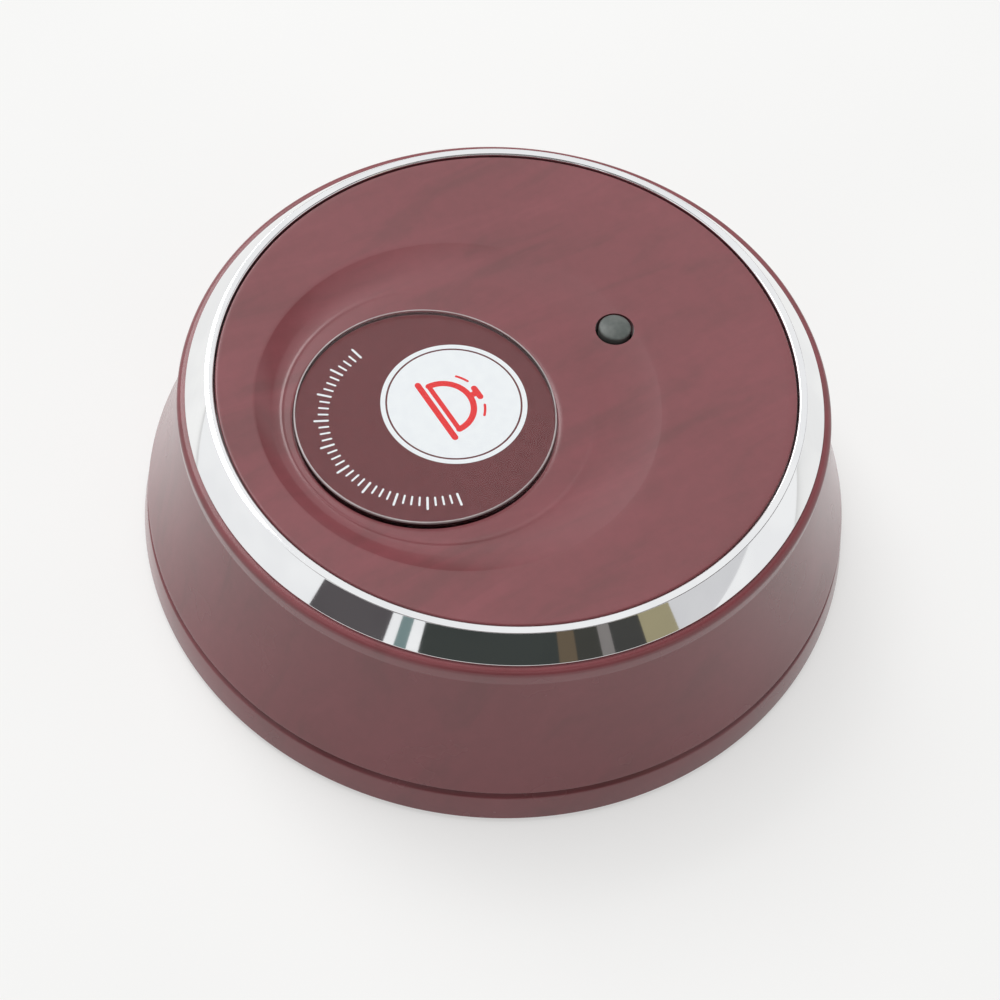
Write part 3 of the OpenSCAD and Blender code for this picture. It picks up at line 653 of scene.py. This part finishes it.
def base():
    """The base with its foot flange, bayonet ring and lugs, coin slot and recesses."""
    wall_r = skirt_radius(LUG_TOP_Z) - SKIRT_WALL - BAYONET_GAP
    ring_r = wall_r - LUG_REACH
    ring_in = ring_r - BAYONET_WALL
    flange_in = SKIRT_R - SKIRT_WALL
    bm = bmesh.new()
    add_turned(bm, rounded([
        (0, BASE_LOW_Z, 0), (FOOT_R - FOOT_CHAMFER, BASE_LOW_Z, EDGE_ROUND),
        (FOOT_R, BASE_LOW_Z + FOOT_CHAMFER, EDGE_ROUND),
        (FOOT_R - FLANGE_DRAFT, PARTING_Z - GROOVE * 0.7, FLANGE_ROUND),
        (SKIRT_R - GROOVE, PARTING_Z, GROOVE_ROUND),
        (flange_in, PARTING_Z, EDGE_ROUND), (flange_in, FLOOR_Z, 0), (ring_r, FLOOR_Z, 0),
        (ring_r, BAYONET_TOP_Z, EDGE_ROUND), (ring_in, BAYONET_TOP_Z, EDGE_ROUND),
        (ring_in, FLOOR_Z, FLANGE_ROUND), (0, FLOOR_Z, 0)]))
    tool = bmesh.new()
    below = BASE_LOW_Z - 1
    end_r = COIN_SLOT_W / 2
    slot = [(COIN_SLOT / 2 + end_r * math.cos(a), end_r * math.sin(a))
        for a in evenly(-math.pi / 2, math.pi / 2, 24)]
    slot += [(-x, -y) for x, y in slot]
    add_slab(tool, slot, below, COIN_SLOT_DEPTH + 1)
    add_around(tool, ring_outline(0, PAD_R + PAD_PLAY, below, BASE_LOW_Z + PAD_DEPTH),
        PAD_ANGLES, PAD_AT_R, 64)
    bm = less(finish_mesh("base_shell", bm, 35), finish_mesh("tool", tool))
    for turn in THIRDS:
        add_turned(bm, ring_outline(ring_r - BAYONET_WALL / 2, wall_r, LUG_Z, LUG_TOP_Z),
            sides=16, start=turn - LUG_SWEEP / 2, sweep=LUG_SWEEP)
    return finish_mesh("base_shell_whole", bm, 35)


def feet():
    bm = bmesh.new()
    add_around(bm, rounded([(0, 0, 0), (PAD_R, 0, 0.2), (PAD_R, PAD_H, 0.05), (0, PAD_H, 0)]),
        PAD_ANGLES, PAD_AT_R, 64)
    return finish_mesh("foot_pads", bm, 50)


place(skirt(), "housing", "burgundy_plastic", "housing_skirt")
place(bezel(), "housing", "chrome", "chrome_ring")
place(panel(), "housing", "burgundy_panel", "top_panel")
place(base(), "base", "burgundy_plastic", "base_cover")
place(feet(), "base", "rubber", "rubber_feet")


# ---------------------------------------------------------------- lamp
def lamp():
    """The lens with its collar: a cylinder that ends in a low dome."""
    low, high = led_low.z, led_high.z
    collar_z = low + COLLAR_H
    bow = (LED_R ** 2 + LED_DOME ** 2) / (2 * LED_DOME)
    dome = [(bow * math.cos(a), high - bow + bow * math.sin(a))
        for a in evenly(math.acos(LED_R / bow), math.pi / 2, 16)]
    dome = rounded([(*dome[0], LED_EDGE_ROUND)] + [(*p, 0) for p in dome[2:]]
        + [(LED_R, collar_z, 0)])[:-1]
    outline = [(0, low), (LED_COLLAR_R - 0.05, low), (LED_COLLAR_R, low + 0.05),
        (LED_COLLAR_R, collar_z), (LED_R, collar_z)] + dome[:-1] + [(0, high)]
    return turned("lamp_lens_dome", outline, y=LED_Y, sides=128)


place(lamp(), "housing", "lamp_lens", "led_body")


# ---------------------------------------------------------------- call key
BEVEL_W = 0.14
BEVEL_H = 0.2
BEVEL_SKIN = 0.03
PRINT_T = 0.01
PRINT_Z = LABEL_Z - 2 * PRINT_T
SPOT_Y = KEY_Y + 2.8
SPOT_R = 5.67
SPOT_RING_IN = 5.83
SPOT_RING_R = 6.25
LABEL_MARGIN = 0.15


def window():
    """The clear disc, with room in its upper corner for window_edge's skin."""
    top = window_high.z
    inner = WINDOW_R - BEVEL_SKIN
    return turned("window_disc", [
        (0, window_low.z), (WINDOW_R, window_low.z), (WINDOW_R, top - BEVEL_H),
        (inner, top - BEVEL_H), (inner, top - BEVEL_SKIN), (WINDOW_R - BEVEL_W, top - BEVEL_SKIN),
        (WINDOW_R - BEVEL_W, top), (0, top)], y=KEY_Y, sides=360, sharp=30)


def window_edge():
    """The window's top corner as a thin pale opaque skin: a painted highlight that stands for the
    bright line along the clear disc's edge.
    """
    low, top = window_high.z - BEVEL_H, window_high.z
    inner, skin_in = WINDOW_R - BEVEL_W, WINDOW_R - BEVEL_SKIN
    edge = turned("window_edge", rounded([
        (skin_in, low, 0), (WINDOW_R, low, 0), (WINDOW_R, top, 0.08), (inner, top, 0),
        (inner, top - BEVEL_SKIN, 0), (skin_in, top - BEVEL_SKIN, 0)], 4),
        y=KEY_Y, sides=360, sharp=30)
    # The painted highlight casts no shadow onto the label.
    edge.visible_shadow = False
    return edge


def label():
    outline = ring_outline(0, WINDOW_R - LABEL_MARGIN, LABEL_LOW_Z, LABEL_Z - 3 * PRINT_T)
    return turned("label_disc", outline, y=KEY_Y)


def spot(name, inner, outer):
    """A ring or disc of white print about the spot's middle."""
    outline = ring_outline(inner, outer, PRINT_Z, PRINT_Z + PRINT_T)
    return turned(name, outline, y=SPOT_Y, sides=192)


def stroke(points, width):
    """The outline of a round-ended line of that width through the points."""
    left, right = [], []
    last = len(points) - 1
    for i, p in enumerate(points):
        along = (Vector(points[min(i + 1, last)]) - Vector(points[max(i - 1, 0)])).normalized()
        across = Vector((-along.y, along.x)) * width / 2
        left.append(Vector(p) + across)
        right.append(Vector(p) - across)

    def cap(centre, first):
        centre = Vector(centre)
        turn = math.atan2(*reversed(first - centre))
        angles = [turn - math.pi * k / 8 for k in range(1, 8)]
        return [centre + Vector((math.cos(a), math.sin(a))) * width / 2 for a in angles]
    outline = left + cap(points[-1], left[-1]) + right[::-1] + cap(points[0], right[0])
    return [tuple(p) for p in outline]


def bell():
    """A plain service bell: dome, tray, rim, knob and two ring marks. Each stroke has
    its own height, so that no two faces lie in one plane."""
    line, r, tray, mark_r = 0.55, 2.55, 3.1, 3.5
    foot = SPOT_Y - 1.75
    rim = foot + 0.75
    knob = rim + r
    dome = [(r * math.cos(a), rim + r * math.sin(a)) for a in evenly(math.pi, 0, 24)]
    lines = [(dome, line), ([(-tray, foot), (tray, foot)], line),
        ([(-r, rim), (r, rim)], line * 0.8), ([(0, knob), (0, knob + 0.6)], line),
        ([(-0.5, knob + 0.75), (0.5, knob + 0.75)], line)]
    for side in (-1, 1):
        lines.append(([(side * mark_r * math.cos(a), rim + mark_r * math.sin(a))
            for a in evenly(math.radians(48), math.radians(66), 6)], 0.22))
    bm = bmesh.new()
    for k, (points, width) in enumerate(lines):
        add_slab(bm, stroke(points, width), LABEL_Z - PRINT_T, PRINT_T * (0.9 - 0.1 * k))
    return finish_mesh("bell_mark", bm)


def ticks():
    """A plain scale of fine strokes where the ring of print is, every fourth longer."""
    bm = bmesh.new()
    for k, a in enumerate(evenly(math.radians(-168), math.radians(-12), 36)):
        outer, width = (9.35, 0.2) if k % 4 == 0 else (9.0, 0.17)
        line = [(q * math.cos(a), KEY_Y + q * math.sin(a)) for q in (8.25, outer)]
        add_slab(bm, stroke(line, width), PRINT_Z, PRINT_T)
    return finish_mesh("tick_marks", bm)


WHITE_INK = printed("white_ink", srgb(243, 244, 247), srgb(247, 248, 250))
RED_INK = printed("red_ink", srgb(234, 48, 50), srgb(240, 56, 58))
# Pale grey paint for the window's corner skin: a painted highlight for its bright edge line.
EDGE_HIGHLIGHT_PAINT = plastic("painted_edge_highlight", srgb(160, 150, 150), srgb(178, 170, 170), 0.3, 0.4)
place(window(), "key", "clear_acrylic", "key_window")
place(window_edge(), "key", "clear_acrylic", paint=EDGE_HIGHLIGHT_PAINT)
place(label(), "key", "label_print", "key_label")
place(spot("spot_ring", SPOT_RING_IN, SPOT_RING_R), "key", "label_print", paint=WHITE_INK)
place(spot("spot_disc", 0, SPOT_R), "key", "label_print", paint=WHITE_INK)
place(bell(), "key", "label_print", paint=RED_INK)
place(ticks(), "key", "label_print", paint=WHITE_INK)


# ---------------------------------------------------------------- stage
def shown_rays(tree):
    """A socket that is 1 for the camera's rays and for those off metal or in glass."""
    path = tree.nodes.new("ShaderNodeLightPath")
    share = path.outputs["Is Camera Ray"]
    for ray in ("Is Glossy Ray", "Is Transmission Ray"):
        both = tree.nodes.new("ShaderNodeMath")
        both.operation = "MAXIMUM"
        tree.links.new(share, both.inputs[0])
        tree.links.new(path.outputs[ray], both.inputs[1])
        share = both.outputs[0]
    return share


def stage_paint(name, colour, other, shown):
    """Pale paper. The camera, metal and glass see that share of it at its own level,
    so that the object's shadow on it is soft."""
    paint = Paint(name).set(rough=0.9, specular=0.0)
    tint = paint.ramp(paint.noise(60, 2), [(0.3, colour), (0.7, other)])
    paint.colour(tint)
    glow = paint.new("Emission")
    paint.link(tint, glow.inputs["Color"])
    part = paint.new("Math", operation="MULTIPLY")
    paint.link(shown_rays(paint.tree), part.inputs[0])
    part.inputs[1].default_value = shown
    paint.show(mixed_shader(paint.tree, part.outputs[0], paint.shader.outputs[0], glow.outputs[0]))
    return paint.material


FLOOR_SIZE = 3000
floor_mesh = bmesh.new()
bmesh.ops.create_grid(floor_mesh, x_segments=8, y_segments=8, size=FLOOR_SIZE)
floor = finish_mesh("floor", floor_mesh)
floor.data.materials.append(
    stage_paint("floor_paper", srgb(244, 244, 243), srgb(246, 246, 245), 0.55))

WORLD_LIGHT = 0.33
world = bpy.data.worlds.new("studio")
bpy.context.scene.world = world
world.use_nodes = True
tree = world.node_tree
tree.nodes.clear()


def background(colour, strength):
    made = tree.nodes.new("ShaderNodeBackground")
    made.inputs["Color"].default_value = colour
    made.inputs["Strength"].default_value = strength
    return made.outputs[0]


sky = mixed_shader(tree, shown_rays(tree), background((1.0, 1.0, 1.0, 1), WORLD_LIGHT),
    background((0.93, 0.935, 0.94, 1), 1.0))
tree.links.new(sky, tree.nodes.new("ShaderNodeOutputWorld").inputs["Surface"])


def direction(azimuth, elevation):
    """Unit vector; azimuth is counted from +X towards +Y, in degrees."""
    a, e = math.radians(azimuth), math.radians(elevation)
    return Vector((math.cos(a) * math.cos(e), math.sin(a) * math.cos(e), math.sin(e)))


def lamp_light(name, azimuth, elevation, distance, size, watts, shiny=False):
    """A square soft light, sizes in metres. Shiny says whether reflections show it."""
    data = bpy.data.lights.new(name, "AREA")
    data.shape = "SQUARE"
    data.size = size
    data.energy = watts
    made = bpy.data.objects.new(name, data)
    made.location = direction(azimuth, elevation) * distance
    made.rotation_mode = "QUATERNION"
    made.rotation_quaternion = made.location.to_track_quat("Z", "Y")
    bpy.context.scene.collection.objects.link(made)
    made.visible_glossy = shiny
    made.visible_camera = False
    made.visible_transmission = False


lamp_light("soft_top", 175, 74, 1.6, 1.2, 15)
lamp_light("window_side", 180, 47, 1.6, 0.75, 8, True)


def band(name, azimuths, elevations, colour, distance=900.0):
    """A strip round the object that its shiny pieces alone show."""
    a1, a2 = azimuths
    low, high = elevations
    bm = bmesh.new()
    edges = evenly(a1, a2, max(2, int((a2 - a1) / 2)))
    for a, b in zip(edges, edges[1:]):
        spots = [direction(*to) * distance for to in ((a, low), (b, low), (b, high), (a, high))]
        bm.faces.new([bm.verts.new(spot) for spot in spots])
    piece = finish_mesh(name, bm)
    paint = bpy.data.materials.new(name)
    paint.use_nodes = True
    nodes = paint.node_tree.nodes
    glow = nodes.new("ShaderNodeEmission")
    glow.inputs["Color"].default_value = colour
    paint.node_tree.links.new(glow.outputs[0], nodes["Material Output"].inputs["Surface"])
    piece.data.materials.append(paint)
    piece.visible_camera = False
    piece.visible_diffuse = False
    piece.visible_shadow = False
    piece.visible_transmission = False


# What the chrome mirrors: the room behind the photographer, from left to right, the
# pale side, and the dim ceiling, lamp shade and far wall.
ROOM = (12, 55)
band("room_left", (-86, -63.5), ROOM, srgb(88, 84, 86))
band("room_green", (-60.5, -57), ROOM, srgb(120, 140, 140))
band("room_low", (-57, -53.5), (12, 21), srgb(84, 80, 78))
band("room_middle", (-53.5, -14), ROOM, srgb(62, 66, 64))
band("room_tan", (-14, -9), ROOM, srgb(104, 92, 76))
band("room_dark", (-9, -2), ROOM, srgb(66, 66, 62))
band("room_gap", (-2, 1.5), ROOM, srgb(132, 128, 126))
band("room_right", (1.5, 10.5), ROOM, srgb(68, 68, 66))
band("room_wood", (10.5, 20), ROOM, srgb(160, 152, 122))
band("room_side", (20, 75), (12, 40), srgb(214, 214, 216))
band("room_ceiling", (30, 116), (44, 66), srgb(60, 40, 40))
band("room_lamp_shade", (0, 360), (66, 90), srgb(80, 60, 60))
band("room_back", (100, 172), (6, 27), srgb(90, 60, 60))


# ---------------------------------------------------------------- camera
# The photograph's view: the object turned, tilted and rolled (radians), and then
# shifted (millimetres) from the lens: to the right, up and ahead.
VIEW_TURN = math.radians(53.5)
VIEW_TILT = 0.98483568
VIEW_ROLL = -0.10281619
VIEW_SHIFT = (-0.4452677, -0.1615005, 187.5773883)

right = Vector((1, 0, 0))
up = Vector((0, math.sin(VIEW_TILT), math.cos(VIEW_TILT)))
ahead = Vector((0, math.cos(VIEW_TILT), -math.sin(VIEW_TILT)))
c, s = math.cos(VIEW_ROLL), math.sin(VIEW_ROLL)
turn = Matrix.Rotation(VIEW_TURN, 3, "Z")
axes = [turn @ axis for axis in (c * right - s * up, s * right + c * up, ahead)]
lens = bpy.data.cameras.new("camera")
lens.lens = 72
lens.sensor_width = 36
lens.clip_start = 0.01
lens.clip_end = 20
camera = bpy.data.objects.new("camera", lens)
bpy.context.scene.collection.objects.link(camera)
matrix = Matrix((axes[0], axes[1], -axes[2])).transposed().to_4x4()
matrix.translation = -sum((axis * by for axis, by in zip(axes, VIEW_SHIFT)), Vector()) * MM
camera.matrix_world = matrix
bpy.context.scene.camera = camera
bpy.context.scene.view_settings.view_transform = "Standard"
